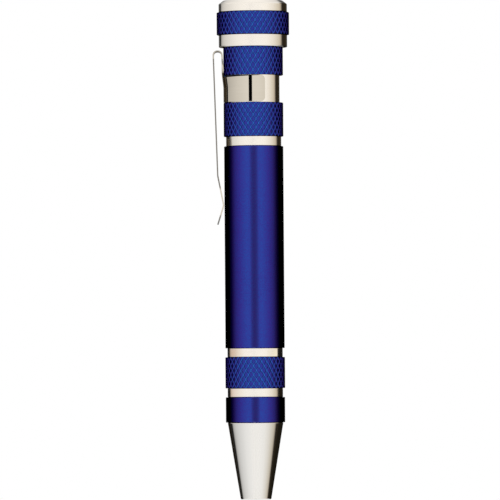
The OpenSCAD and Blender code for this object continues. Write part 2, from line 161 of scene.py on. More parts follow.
def buildSmudge():
    group, start, end = newGroup(
        "smudge",
        [("Vector", "NodeSocketVector", None),
         ("Scale", "NodeSocketFloat", smudgeShape["scale"])],
        [("Smudge", "NodeSocketFloat")])
    broad = addNode(group, "ShaderNodeTexNoise", {
        "Vector": start.outputs["Vector"], "Scale": start.outputs["Scale"],
        "Detail": smudgeShape["broadDetail"], "Distortion": smudgeShape["distortion"]})
    fine = addNode(group, "ShaderNodeTexNoise", {
        "Vector": start.outputs["Vector"], "Detail": smudgeShape["fineDetail"],
        "Scale": calc(group, "MULTIPLY", start.outputs["Scale"], smudgeShape["finer"])})
    mixed = calc(group, "MULTIPLY",
                 mapped(group, broad.outputs["Fac"], *smudgeShape["broadEdge"]),
                 mapped(group, fine.outputs["Fac"], *smudgeShape["fineEdge"],
                        smudgeShape["fineLow"], 1.0))
    fill(group, end, {"Smudge": mixed})
    return group


# Worn edges, and on the blue coating a painted highlight along its chamfers: where the surface
# is convex, broken up by noise
wearAndGlintShape = {"range": (0.53, 0.62), "scale": 700.0, "detail": 4.0, "patchEdge": (0.35, 0.65)}


def buildEdgeWearAndGlint():
    group, start, end = newGroup(
        "edgeWearAndGlint",
        [("Vector", "NodeSocketVector", None),
         ("From", "NodeSocketFloat", wearAndGlintShape["range"][0]),
         ("To", "NodeSocketFloat", wearAndGlintShape["range"][1])],
        [("WearAndGlint", "NodeSocketFloat")])
    shape = addNode(group, "ShaderNodeNewGeometry")
    edge = mapped(group, shape.outputs["Pointiness"], start.outputs["From"], start.outputs["To"])
    noise = addNode(group, "ShaderNodeTexNoise", {
        "Vector": start.outputs["Vector"], "Scale": wearAndGlintShape["scale"],
        "Detail": wearAndGlintShape["detail"]})
    patch = mapped(group, noise.outputs["Fac"], *wearAndGlintShape["patchEdge"])
    fill(group, end, {"WearAndGlint": calc(group, "MULTIPLY", edge, patch)})
    return group


# Specks that lie on faces which look up
dustShape = {"amount": 0.15, "scale": 2600.0, "speckEdge": (0.12, 0.3), "upEdge": (0.4, 0.95)}


def buildDust():
    group, start, end = newGroup(
        "dust",
        [("Vector", "NodeSocketVector", None),
         ("Amount", "NodeSocketFloat", dustShape["amount"])],
        [("Dust", "NodeSocketFloat")])
    shape = addNode(group, "ShaderNodeNewGeometry")
    up = addNode(group, "ShaderNodeSeparateXYZ", {"Vector": shape.outputs["Normal"]})
    cells = addNode(group, "ShaderNodeTexVoronoi", {
        "Vector": start.outputs["Vector"], "Scale": dustShape["scale"]})
    speck = mapped(group, cells.outputs["Distance"], *dustShape["speckEdge"], 1.0, 0.0)
    lying = calc(group, "MULTIPLY", mapped(group, up.outputs["Z"], *dustShape["upEdge"]), speck)
    fill(group, end, {"Dust": calc(group, "MULTIPLY", lying, start.outputs["Amount"])})
    return group


# Blotches of a blasted and dyed surface, a fraction of a millimetre across
mottleShape = {"scale": 2600.0, "detail": 2.0, "roughness": 0.6, "edge": (0.36, 0.64)}


def buildMottle():
    group, start, end = newGroup(
        "mottle",
        [("Vector", "NodeSocketVector", None),
         ("Scale", "NodeSocketFloat", mottleShape["scale"])],
        [("Mottle", "NodeSocketFloat")])
    noise = addNode(group, "ShaderNodeTexNoise", {
        "Vector": start.outputs["Vector"], "Scale": start.outputs["Scale"],
        "Detail": mottleShape["detail"], "Roughness": mottleShape["roughness"]})
    fill(group, end, {"Mottle": mapped(group, noise.outputs["Fac"], *mottleShape["edge"])})
    return group


turnedGrain, smudge, edgeWearAndGlint, dust, mottle = (
    buildTurnedGrain(), buildSmudge(), buildEdgeWearAndGlint(), buildDust(), buildMottle())
print("node groups built")


# What all materials share: how grain and smudges pick the second colour, the dust's colour,
# the value of the mesh attribute for marks and painted light at which its colour starts, the
# height of the relief in metres and how far from the centre softCentre reaches, as a facing
# value
coat = {"toneEdge": (0.3, 0.7), "toneMost": 0.5, "smudgeTone": 0.5, "dust": (0.55, 0.53, 0.5),
        "markFrom": 0.5, "relief": 0.00002, "centreReach": 0.08}


def newMaterial(name):
    material = bpy.data.materials.new(name)
    material.use_nodes = True
    return material, material.node_tree


# Nought where the surface looks at the viewer and one at the rim
def facing(tree):
    return addNode(tree, "ShaderNodeLayerWeight", {"Blend": 0.5}).outputs["Facing"]


# One above a line that climbs by slope along X, between the left and right ends of the seam: the
# mask of the painted seam shadow
def seamShadowMask(tree, spot, seamShadow):
    place = addNode(tree, "ShaderNodeSeparateXYZ", {"Vector": spot}).outputs
    above = calc(tree, "SUBTRACT", place["Z"], calc(tree, "MULTIPLY", place["X"], seamShadow["slope"]))
    within = calc(tree, "MULTIPLY", mapped(tree, place["X"], *seamShadow["left"]),
                  mapped(tree, place["X"], *seamShadow["right"], 1.0, 0.0))
    return calc(tree, "MULTIPLY", within, mapped(tree, above, *seamShadow["edge"]))


# One material: a Principled shader whose colour, roughness and bump come from the groups.
# base and dark are the two colours of the grain. roughSpread is how far grain and smudges move
# the roughness, and bump is the strength of the relief. The wear colour is that of worn edges,
# and on the blue coating that of a painted highlight along its chamfers. The limb stops, over
# the facing value, multiply the colour: painted shade towards the rim, and on the blue coating
# a painted darker streak where it faces the viewer. rimTint is the tint of the mirror image at
# the rim. softCentre is roughness added where the surface looks at the viewer. The mark colour
# and markRough apply where the mesh attribute for marks and painted light nears one: a painted
# highlight in the knurl grooves, and sheared edges whose dark line is partly painted shade.
# mottleColor is the second colour of a dyed coating and mottleRelief the height of its blotches.
# The seam colour is a painted shadow in the seam beside the next piece.
def makeMaterial(name, base, dark, metallic, roughness, roughSpread, bump,
                 density=grainShape["density"], wearAndGlintColor=None, wearAndGlintRange=wearAndGlintShape["range"],
                 dustAmount=dustShape["amount"], limbShade=None, rimTint=None, softCentre=0.0,
                 markAndPaintedLightColor=None, markRough=0.0, mottleColor=None, mottleRelief=0.0, seamShadow=None):
    material, tree = newMaterial(name)
    spot = addNode(tree, "ShaderNodeTexCoord").outputs["Object"]
    grain = useGroup(tree, turnedGrain, {"Vector": spot, "Density": density})["Grain"]
    marks = useGroup(tree, smudge, {"Vector": spot, "Scale": smudgeShape["scale"]})["Smudge"]
    specks = useGroup(tree, dust, {"Vector": spot, "Amount": dustAmount})["Dust"]
    height = grain
    rough = calc(tree, "ADD", calc(tree, "MULTIPLY", grain, roughSpread),
                 calc(tree, "ADD", calc(tree, "MULTIPLY", marks, roughSpread),
                      roughness - roughSpread / 2))
    tone = calc(tree, "MULTIPLY", mapped(tree, grain, *coat["toneEdge"], 0.0, coat["toneMost"]),
                calc(tree, "ADD", marks, coat["smudgeTone"]), clamp=True)
    color = blended(tree, tone, base, dark)
    if mottleColor:
        blotch = useGroup(tree, mottle, {
            "Vector": spot, "Scale": mottleShape["scale"]})["Mottle"]
        color = blended(tree, blotch, color, mottleColor)
        height = calc(tree, "ADD", grain, calc(tree, "MULTIPLY", blotch, mottleRelief))
    # worn edges, and on the blue coating a painted highlight along the chamfers
    if wearAndGlintColor:
        wornAndLit = useGroup(tree, edgeWearAndGlint, {
            "Vector": spot, "From": wearAndGlintRange[0], "To": wearAndGlintRange[1]})["WearAndGlint"]
        color = blended(tree, wornAndLit, color, wearAndGlintColor)
    color = blended(tree, specks, color, coat["dust"])
    # a painted highlight in the knurl grooves; on the clip, dull sheared edges, partly painted
    # shade
    if markAndPaintedLightColor:
        attribute = addNode(tree, "ShaderNodeAttribute", attribute_name="markAndPaintedLight").outputs["Fac"]
        marked = mapped(tree, attribute, coat["markFrom"], 1.0)
        color = blended(tree, marked, color, markAndPaintedLightColor)
        if markRough:
            rough = calc(tree, "ADD", rough, calc(tree, "MULTIPLY", marked, markRough))
    # a painted shadow in the seam under the collar above
    if seamShadow:
        color = blended(tree, seamShadowMask(tree, spot, seamShadow), color, seamShadow["color"])
    # painted shade towards the rim, by the facing value, and on the blue a painted darker streak
    # where it faces the viewer
    if limbShade:
        color = blended(tree, 1.0, color, ramp(tree, facing(tree), limbShade), "MULTIPLY")
    if softCentre:
        rough = calc(tree, "ADD", rough, mapped(
            tree, facing(tree), 0.0, coat["centreReach"], softCentre, 0.0))
    relief = addNode(tree, "ShaderNodeBump", {
        "Height": height, "Strength": bump, "Distance": coat["relief"]}).outputs["Normal"]
    shader = tree.nodes["Principled BSDF"]
    fill(tree, shader, {
        "Base Color": color, "Metallic": metallic, "Roughness": rough, "Normal": relief})
    if rimTint:
        shader.inputs["Specular Tint"].default_value = fullColor(rimTint)
    return material


# Painted shade over the facing value: darker towards the rim, and on the blue sleeves also a
# darker streak where they face the viewer
blueLimbShade = [
    (0.0, (0.74, 0.38, 0.45)), (0.003, (0.8, 0.5, 0.55)), (0.012, (1.0, 0.93, 0.95)),
    (0.03, (1.0, 1.03, 1.0)), (0.07, (1.05, 0.85, 0.93)), (0.12, (1.15, 0.62, 0.85)),
    (0.22, (0.9, 0.42, 0.62)), (0.3, (0.55, 0.2, 0.3)), (0.36, (0.3, 0.1, 0.15)),
    (0.46, (0.06, 0.02, 0.04)), (0.58, (0.004, 0.004, 0.01)), (1.0, (0.0, 0.0, 0.006))]
knurlLimbShade = [
    (0.0, 1.0), (0.06, 1.0), (0.13, (1.0, 0.78, 0.86)), (0.21, (0.75, 0.4, 0.52)),
    (0.29, (0.45, 0.19, 0.29)), (0.38, (0.27, 0.1, 0.17)), (0.5, (0.12, 0.045, 0.08)),
    (0.65, (0.04, 0.015, 0.03)), (1.0, 0.008)]
# A painted shadow in the narrow seam between the clip's band and the collar above it, in metres
clipSeamShadow = {"slope": 0.045, "edge": (0.10567, 0.10571), "left": (-0.0069, -0.0066),
            "right": (0.0016, 0.0022), "color": (0.012, 0.012, 0.02)}
finishes = {
    "plated": {
        "base": (0.98, 0.92, 0.83), "dark": (0.93, 0.86, 0.76), "metallic": 1.0,
        "roughness": 0.085, "roughSpread": 0.03, "bump": 0.08, "softCentre": 0.22,
        "wearAndGlintColor": (0.99, 0.96, 0.9), "wearAndGlintRange": (0.6, 0.75)},
    "clip": {
        "base": (0.69, 0.63, 0.53), "dark": (0.61, 0.55, 0.45), "metallic": 1.0,
        "roughness": 0.025, "roughSpread": 0.02, "bump": 0.02, "density": 2600.0,
        # the mark colour darkens sheared edges, partly as painted shade; the seam is a painted
        # shadow
        "markAndPaintedLightColor": (0.26, 0.24, 0.21), "markRough": 0.3, "seamShadow": clipSeamShadow},
    "blue": {
        "base": (0.037, 0.049, 0.345), "dark": (0.028, 0.036, 0.28), "metallic": 1.0,
        "roughness": 0.24, "roughSpread": 0.06, "bump": 0.25, "density": 14000.0,
        # on the blue coating the wear colour is a painted highlight along the chamfers
        "wearAndGlintColor": (0.3, 0.45, 0.62), "wearAndGlintRange": (0.53, 0.6), "limbShade": blueLimbShade,
        "rimTint": (0.02, 0.02, 0.06), "mottleColor": (0.028, 0.062, 0.37), "mottleRelief": 2.5},
    "blueKnurl": {
        "base": (0.035, 0.036, 0.31), "dark": (0.031, 0.022, 0.24), "metallic": 1.0,
        "roughness": 0.22, "roughSpread": 0.06, "bump": 0.15, "density": 14000.0,
        # the mark colour is a painted highlight in the grooves and along the ends
        "markAndPaintedLightColor": (0.024, 0.235, 0.7), "limbShade": knurlLimbShade, "rimTint": (0.03, 0.03, 0.1),
        "mottleColor": (0.026, 0.055, 0.33), "mottleRelief": 2.5},
    "steel": {
        "base": (0.56, 0.56, 0.55), "dark": (0.42, 0.42, 0.42), "metallic": 1.0,
        "roughness": 0.26, "roughSpread": 0.1, "bump": 0.3},
    "bitSteel": {
        "base": (0.36, 0.36, 0.37), "dark": (0.22, 0.22, 0.23), "metallic": 1.0,
        "roughness": 0.34, "roughSpread": 0.12, "bump": 0.4, "density": 5000.0,
        "wearAndGlintColor": (0.62, 0.62, 0.62)},
    "magnet": {
        "base": (0.6, 0.59, 0.57), "dark": (0.5, 0.5, 0.49), "metallic": 1.0,
        "roughness": 0.18, "roughSpread": 0.08, "bump": 0.1},
    "blackPlastic": {
        "base": (0.012, 0.012, 0.013), "dark": (0.02, 0.02, 0.021), "metallic": 0.0,
        "roughness": 0.42, "roughSpread": 0.12, "bump": 0.5, "density": 3200.0,
        "wearAndGlintColor": (0.05, 0.05, 0.05), "dustAmount": 0.3},
    "rubber": {
        "base": (0.008, 0.008, 0.008), "dark": (0.014, 0.014, 0.014), "metallic": 0.0,
        "roughness": 0.6, "roughSpread": 0.15, "bump": 0.6, "density": 5200.0,
        "dustAmount": 0.35}}
materials = {name: makeMaterial(name, **finish) for name, finish in finishes.items()}
print("materials built:", len(materials))


# Geometry helpers. Sizes are in millimetres until the points of a mesh are worked out.

def unit(way):
    return way / np.linalg.norm(way)


# The arc that rounds the corner at here between its neighbours: the centre lies on the bisector,
# radius / cos(half the turn) away, and the points are spaced evenly by angle
def cornerArc(before, here, after, radius, steps):
    back, ahead = unit(before - here), unit(after - here)
    turn = math.pi - math.acos(np.clip(back @ ahead, -1, 1))
    centre = here + unit(back + ahead) * radius / math.cos(turn / 2)
    reach = radius * math.tan(turn / 2)
    first, last = here + back * reach - centre, here + ahead * reach - centre
    share = np.linspace(0, 1, steps + 1)[:, None]
    return centre + (np.sin((1 - share) * turn) * first
                     + np.sin(share * turn) * last) / math.sin(turn)


# Quads of a grid whose rows, columns or both close round
def gridQuads(rows, cols, closeRows, closeCols):
    i, j = np.meshgrid(np.arange(rows if closeRows else rows - 1),
                       np.arange(cols if closeCols else cols - 1), indexing="ij")
    right, above = (j + 1) % cols, (i + 1) % rows
    return np.stack([i * cols + j, i * cols + right, above * cols + right, above * cols + j],
                    axis=-1).reshape(-1, 4)


# Radii and heights swept round Z: (radius cos angle, radius sin angle, height), in metres
def sweptPoints(radius, height, angle):
    x, y = radius * np.cos(angle), radius * np.sin(angle)
    return np.stack(np.broadcast_arrays(x, y, height), -1).reshape(-1, 3) * mm


def intoScene(obj):
    bpy.context.scene.collection.objects.link(obj)
    return obj


def meshObject(name, points, faces):
    mesh = bpy.data.meshes.new(name)
    mesh.from_pydata(points.tolist(), [], faces)
    mesh.validate()
    mesh.polygons.foreach_set("use_smooth", np.ones(len(mesh.polygons), bool))
    return intoScene(bpy.data.objects.new(name, mesh))


def setMaterial(obj, material):
    obj.data.materials.clear()
    obj.data.materials.append(materials[material])


def finishPiece(obj, material, body, slotName, *nodes):
    setMaterial(obj, material)
    if body:
        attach(obj, body)
    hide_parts(*nodes)


# The lower and upper end of a CAD node
def levels(node):
    low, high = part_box(node)
    return low.z / mm, high.z / mm


# Turned pieces. A closed outline of (radius, height, rounding) becomes a dense outline and is
# swept round Z. Each corner is an arc, with a support point beyond each end of the arc. Where
# the outline starts and ends on the axis, a single point closes each end.
turning = {"segments": 168, "arcSteps": 5, "support": 0.05, "supportShare": 0.2}


def roundedOutline(corners):
    pts = np.array([(radius, height) for radius, height, _ in corners], float)
    out = []
    for i, (here, (_, _, rounding)) in enumerate(zip(pts, corners)):
        if rounding == 0:
            out.append(here)
            continue
        before, after = pts[i - 1], pts[(i + 1) % len(pts)]
        arc = cornerArc(before, here, after, rounding, turning["arcSteps"])
        room = min(np.linalg.norm(before - here), np.linalg.norm(after - here))
        extra = min(turning["support"], room * turning["supportShare"])
        out += [arc[0] + unit(before - here) * extra, *arc, arc[-1] + unit(after - here) * extra]
    return np.array(out)


def turnedPiece(name, corners):
    outline = roundedOutline(corners)
    onAxis = corners[0][0] == 0
    if onAxis:
        outline = outline[1:-1]
    rows, cols = len(outline), turning["segments"]
    here = np.arange(cols)
    points = sweptPoints(outline[:, 0:1], outline[:, 1:2], here * 2 * np.pi / cols)
    faces = gridQuads(rows, cols, not onAxis, True).tolist()
    if onAxis:
        ahead, top = (here + 1) % cols, (rows - 1) * cols
        low, high = np.full(cols, len(points)), np.full(cols, len(points) + 1)
        points = np.vstack([points, [[0, 0, corners[end][1] * mm] for end in (0, -1)]])
        faces += np.stack([low, ahead, here], -1).tolist()
        faces += np.stack([high, top + here, top + ahead], -1).tolist()
    return meshObject(name, points, faces)


# The nose: a cone with a mouth, a spigot that goes up into the tube and a seat for the socket
nose = {"mouthR": 2.449, "mouthRound": 0.2, "tipR": 3.8, "tipRound": 0.3, "topR": 6.95,
        "topRound": 0.18, "spigotR": 6.08, "spigotRound": 0.2, "seatR": 3.12,
        "floorRound": 0.02, "innerRound": 0.05}
noseTop, spigotTop = levels("nose_sleeve")[0], levels("nose_cone")[1]
socketLow = levels("bit_socket")[0]
finishPiece(turnedPiece("noseCone", [
    (nose["mouthR"], 0, nose["mouthRound"]), (nose["tipR"], 0, nose["tipRound"]),
    (nose["topR"], noseTop, nose["topRound"]), (nose["spigotR"], noseTop, nose["innerRound"]),
    (nose["spigotR"], spigotTop, nose["spigotRound"]),
    (nose["seatR"], spigotTop, nose["innerRound"]),
    (nose["seatR"], socketLow, nose["floorRound"]),
    (nose["mouthR"], socketLow, nose["innerRound"])]), "plated", "handle", "plated", "nose_cone")


# A plain ring between the ends of its node
def plainRing(name, node, size, finish):
    low, high = levels(node)
    corners = [(size["bore"], low, size["boreRound"]), (size["radius"], low, size["rounding"]),
               (size["radius"], high, size["rounding"]), (size["bore"], high, size["boreRound"])]
    finishPiece(turnedPiece(name, corners), finish, "handle", finish, node)


tube = {"radius": 6.55, "bore": 6.1, "rounding": 0.1, "boreRound": 0.06}
plainRing("coreTube", "core_tube", tube, "plated")

sleeve = {"radius": 7.4, "bore": 6.57, "rounding": 0.14, "boreRound": 0.06}
for name, node in (("noseSleeve", "nose_sleeve"), ("barrelSleeve", "barrel_sleeve")):
    plainRing(name, node, sleeve, "blue")

ring = {"radius": 6.9, "bore": 6.57, "rounding": 0.12, "boreRound": 0.06}
for name, node in (("gripRingLower", "grip_ring_lower"), ("gripRingUpper", "grip_ring_upper"),
                   ("middleRing", "middle_ring")):
    plainRing(name, node, ring, "plated")

# The cap's base hangs by baseDrop below its node, and its skirt by skirtDrop more. The crown
# stands in the base's cup with a spigot.
cap = {"radius": 8.55, "bore": 2.55, "hubR": 7.6, "cupR": 5.0, "cupFloor": 117.6,
       "spigotDrop": 1.2, "spigotGap": 0.02, "baseDrop": 0.05, "skirtR": 7.75, "skirtDrop": 0.15,
       "bevelW": 1.2, "bevelH": 0.9, "baseRound": 0.22, "lipRound": 0.2, "cupRound": 0.2,
       "bevelRound": 0.35, "crownRound": 0.5, "edgeRound": 0.1, "innerRound": 0.05,
       "stepRound": 0.02}
baseLow = levels("cap_base")[0] - cap["baseDrop"]
skirtLow, hubTop = baseLow - cap["skirtDrop"], levels("cap_base")[1]
gripLow, gripHigh = levels("cap_grip_ring")
crownTop = levels("cap_crown")[1]
finishPiece(turnedPiece("capBase", [
    (cap["bore"], baseLow, cap["edgeRound"]), (cap["skirtR"], baseLow, cap["stepRound"]),
    (cap["skirtR"], skirtLow, cap["innerRound"]), (cap["radius"], skirtLow, cap["baseRound"]),
    (cap["radius"], gripLow, cap["lipRound"]), (cap["hubR"], gripLow, cap["innerRound"]),
    (cap["hubR"], hubTop, cap["edgeRound"]), (cap["cupR"], hubTop, cap["edgeRound"]),
    (cap["cupR"], cap["cupFloor"], cap["cupRound"]),
    (cap["bore"], cap["cupFloor"], cap["edgeRound"])]),
    "plated", "swivel_cap", "plated", "cap_base")
spigotR, spigotLow = cap["cupR"] - cap["spigotGap"], gripHigh - cap["spigotDrop"]
finishPiece(turnedPiece("capCrown", [
    (0, spigotLow, 0), (spigotR, spigotLow, cap["edgeRound"]),
    (spigotR, gripHigh, cap["innerRound"]), (cap["radius"], gripHigh, cap["lipRound"]),
    (cap["radius"], crownTop - cap["bevelH"], cap["bevelRound"]),
    (cap["radius"] - cap["bevelW"], crownTop, cap["crownRound"]), (0, crownTop, 0)]),
    "plated", "swivel_cap", "plated", "cap_crown")
print("turned pieces built")


# Knurled collars. Two phases run round the collar and lean against each other:
# phase = diamonds * angle / (2 pi) plus or minus height / rise. A groove lies where a phase is
# a whole number; its depth falls off over grooveShare of a diamond, and it carries a painted
# highlight. A diamond is cells wide, and the triangles follow the grooves. An odd number of half
# rows starts oddTurn of a diamond on, so that the top mirrors the foot. Each end rounds off over
# edge, stands faceStep over its flat face, and carries the painted highlight as far as endRows
# go. The painted highlight in the grooves of one lean is dimmer round leftAt and in those of the
# other round rightAt, both in radians, as if the light fell from one side. collar and cap are
# (radius, bore, diamonds).
knurl = {"cells": 12, "grooveShare": 2 / 12, "depth": 0.17, "edge": 0.13, "faceStep": 0.08,
         "endRows": (0.0, 0.03, 0.08), "oddTurn": 0.25, "dull": 0.32, "dullPower": 4,
         "leftAt": 3.9, "rightAt": 5.47, "seatR": 7.06,
         "collar": (7.45, 6.57, 35), "cap": (9.06, 7.62, 42)}


def toWhole(phase):
    return np.abs(phase - np.round(phase))


def groove(phase):
    return np.clip(1 - toWhole(phase) / knurl["grooveShare"], 0, 1)


# Two triangles for each quad, cut along the groove that passes nearer to its middle
def cutAlongGrooves(quads, plus, minus):
    falling = (toWhole(plus) <= toWhole(minus))[:, None]
    a, b, c, d = quads.T
    first = np.where(falling, np.stack([a, b, d], -1), np.stack([a, b, c], -1))
    second = np.where(falling, np.stack([b, c, d], -1), np.stack([a, c, d], -1))
    return np.vstack([first, second])


# How strong the painted highlight in the grooves is: each lean dimmer on its shaded side of the
# sleeve, and full at both ends
def grooveHighlight(plus, minus, angle, toEnd, lean):
    def dulled(side):
        turnedTo = np.clip(np.cos(angle - knurl[side]), 0, 1)
        return 1 - knurl["dull"] * turnedTo ** knurl["dullPower"]

    left, right = (dulled(side) for side in ("leftAt", "rightAt")[::lean])
    _, near, far = knurl["endRows"]
    bright = np.maximum(groove(plus) * right, groove(minus) * left)
    return np.maximum(bright, np.clip((far - toEnd) / (far - near), 0, 1))


def knurledPiece(name, collar):
    radius, bore, diamonds = knurl[collar["size"]]
    cells, edge, step = knurl["cells"], knurl["edge"], knurl["faceStep"]
    halfRows, lip = collar["halfRows"], collar["lip"]
    low, high = levels(collar["node"])
    low, high = low - collar["sink"], high + lip
    tall, cols = high - low, diamonds * cells
    rise = 2 * tall / halfRows
    near = np.array(knurl["endRows"])
    inside = np.arange(1, halfRows * cells // 2) * rise / cells
    height = np.concatenate([near, inside, tall - near[::-1]])
    start = (halfRows % 2) * knurl["oddTurn"]
    u, v = np.arange(cols) / cells, height[:, None] / rise
    plus, minus = u + v + start, u - v + start
    toEnd = np.minimum(height, tall - height)[:, None]
    drop = edge * np.clip(1 - toEnd / edge, 0, 1) ** 2
    depth = knurl["depth"] * np.maximum(groove(plus), groove(minus))
    r = radius - np.maximum(depth, drop)
    boreRow, seatRow = np.full(cols, bore), np.full(cols, knurl["seatR"])
    topRow, footRow = r[-1] - step, r[0] - step
    closingR, closingZ = [topRow, boreRow, boreRow, footRow], [tall, tall, 0, 0]
    if lip > 0:
        closingR = [seatRow, seatRow, boreRow, boreRow, footRow]
        closingZ = [tall, tall - lip, tall - lip, 0, 0]
    angle = u * 2 * np.pi / diamonds
    rings = len(height) + len(closingR)
    points = sweptPoints(np.vstack([r, *closingR]),
                         np.concatenate([height, closingZ])[:, None] + low, angle)
    # phases at the middle of each quad
    midU = np.tile(np.arange(cols) + 0.5, rings) / cells
    midHeight = np.concatenate([(height[:-1] + height[1:]) / 2, np.zeros(len(closingR) + 1)])
    midV = np.repeat(midHeight, cols) / rise
    faces = cutAlongGrooves(gridQuads(rings, cols, True, True),
                            midU + midV + start, midU - midV + start)
    obj = meshObject(name, points, faces.tolist())
    # painted highlight in the grooves and along both ends, dimmer on one side
    bright = grooveHighlight(plus, minus, angle, toEnd, collar["lean"])
    obj.data.attributes.new("markAndPaintedLight", "FLOAT", "POINT").data.foreach_set(
        "value", np.concatenate([bright.ravel(), np.zeros(len(closingR) * cols)]))
    return obj


# A lip above nought stands over the top of the node and leaves a seat for the flange of the
# plug; below nought it shortens the collar. sink carries the foot down over its neighbour. A
# lean below nought swaps the sides on which the painted groove highlight is dimmer.
collars = {
    "gripCollar": {"node": "grip_collar", "body": "handle", "size": "collar", "halfRows": 7,
                   "lip": 0, "sink": 0, "lean": -1},
    "middleCollar": {"node": "middle_collar", "body": "handle", "size": "collar", "halfRows": 8,
                     "lip": -0.2, "sink": 0, "lean": 1},
    "upperCollar": {"node": "upper_collar", "body": "handle", "size": "collar", "halfRows": 6,
                    "lip": 0.2, "sink": 0.1, "lean": 1},
    "capGripRing": {"node": "cap_grip_ring", "body": "swivel_cap", "size": "cap", "halfRows": 5,
                    "lip": 0, "sink": 0, "lean": 1}}
for name, collar in collars.items():
    finishPiece(knurledPiece(name, collar), "blueKnurl", collar["body"], "blue_knurl",
                collar["node"])
print("knurled collars built")


# The clip is one bent sheet. Seen from above, its band is a wing on the tube, a short flat and
# a half turn that stands off the tube, and the same again. Its strand leaves the top of the
# band, turns over in a loop and runs down as the arm. line is the middle of the strand as
# (x, height) and radii are its bends. Each pair that ends in Edge is the heights between which
# a change comes in: the band stands further off, the strand grows flat and the arm turns by
# twist degrees. The shear entry says where the sheared edges are dull and darker, partly as
# painted shade. bend says where the arm gives way, and is not used here.
# Lengths are in millimetres.
clip = {
    "sheet": 0.34, "rim": 0.17, "rimSteps": 4, "rimAngle": 50.0,
    "bandR": 6.77, "flat": 0.72, "wingAngle": 28.0, "wingCorner": 1.1,
    "low": 99.25, "high": 105.5, "rise": 0.37, "riseEnd": 4.3,
    "flareHalf": 3.1, "flareTop": 108.33, "strandHalf": 1.9, "loopRun": 7.5, "tipHalf": 1.5,
    "shiftLow": 0.52, "shiftHigh": 0.92, "shiftEdge": (102.3, 107.0),
    "flatEdge": (106.0, 110.0), "twist": 3.2, "twistEdge": (106.5, 109.5),
    "line": [(-7.69, 105.5), (-7.69, 108.33), (-7.81, 112.05), (-10.0, 112.05),
             (-9.05, 80.9), (-7.6, 73.55), (-9.1, 68.7)],
    "radii": [2.15, 0.98, 0.98, 3.0, 1.6],
    "step": 0.3, "columns": 25, "sideColumns": 44, "cornerColumns": 9, "bandRows": 27,
    "flareRows": 13, "tipRows": 12, "arcSteps": 24, "merge": 0.002,
    # dull sheared edges, whose dark line is partly painted shade
    "shearAndShade": {"from": 107.5, "over": 1.6, "outFrom": -8.1, "outOver": 0.3, "loopFrom": 110.0,
              "loopMost": 0.7, "rightFrom": 2.0, "right": 0.7},
    "bend": {"x": -9.026, "height": 112.05, "reach": 0.9, "lean": 4.0}}
strandShares = np.linspace(-1, 1, clip["columns"])


# A smooth step, t * t * (3 - 2 t), from nought at low to one at high
def eased(value, low, high):
    t = np.clip((value - low) / (high - low), 0, 1)
    return t * t * (3 - 2 * t)


# How far the half turn stands off the tube: more towards the top, where the sheet has to
# clear the collar
def bandShift(z):
    return clip["shiftLow"] + (clip["shiftHigh"] - clip["shiftLow"]) * eased(
        z, *clip["shiftEdge"])


# Position on the band for a distance either side of its middle, at a height: a quarter turn of
# bandR from -X, then straight on along X over flat, then round the tube again by wing, so that
# x = flat * (along - 1) - wide * cos(turned) + bandR * sin(wing) and
# y = bandR * sin(turned) * cos(wing)
def bandPlan(distance, z):
    away, r = np.abs(distance), clip["bandR"]
    quarter = r * np.pi / 2
    turned = np.clip(away, 0, quarter) / r
    along = np.clip((away - quarter) / clip["flat"], 0, 1)
    wing = np.clip(away - quarter - clip["flat"], 0, None) / r
    wide = r + bandShift(z) - clip["flat"]
    x = clip["flat"] * (along - 1) - wide * np.cos(turned) + r * np.sin(wing)
    return x, r * np.sin(turned) * np.cos(wing) * np.sign(distance)


# The band as a grid over distance and height. Its wings end in rounded corners, and its top
# edge eases up by rise on each side of the strand.
def bandGrid():
    total = clip["bandR"] * (math.pi / 2 + math.radians(clip["wingAngle"])) + clip["flat"]
    corner = clip["wingCorner"]
    outer = np.concatenate([
        np.linspace(clip["flareHalf"], total - corner, clip["sideColumns"])[1:],
        total - corner + corner * np.sin(np.linspace(0, np.pi / 2, clip["cornerColumns"]))[1:]])
    across = np.concatenate([-outer[::-1], strandShares * clip["flareHalf"], outer])
    cut = np.clip(np.abs(across) - (total - corner), 0, corner)
    trim = corner - np.sqrt(corner ** 2 - cut ** 2)
    top = clip["high"] + clip["rise"] * eased(
        np.abs(across), clip["flareHalf"], clip["riseEnd"])
    share = np.linspace(0, 1, clip["bandRows"])[:, None]
    z = clip["low"] + trim + (top - clip["low"] - 2 * trim) * share
    x, y = bandPlan(across, z)
    return np.stack(np.broadcast_arrays(x, y, z), -1)


# A bent centre line, straight runs joined by arcs, and the length up to each of its points
def bentLine(line, radii):
    pts = np.array(line, float)
    arcs = [cornerArc(pts[i - 1], pts[i], pts[i + 1], radius, clip["arcSteps"])
            for i, radius in enumerate(radii, 1)]
    dense = np.vstack([pts[:1], *arcs, pts[-1:]])
    steps = np.linalg.norm(np.diff(dense, axis=0), axis=1)
    return dense, np.concatenate([[0], np.cumsum(steps)])


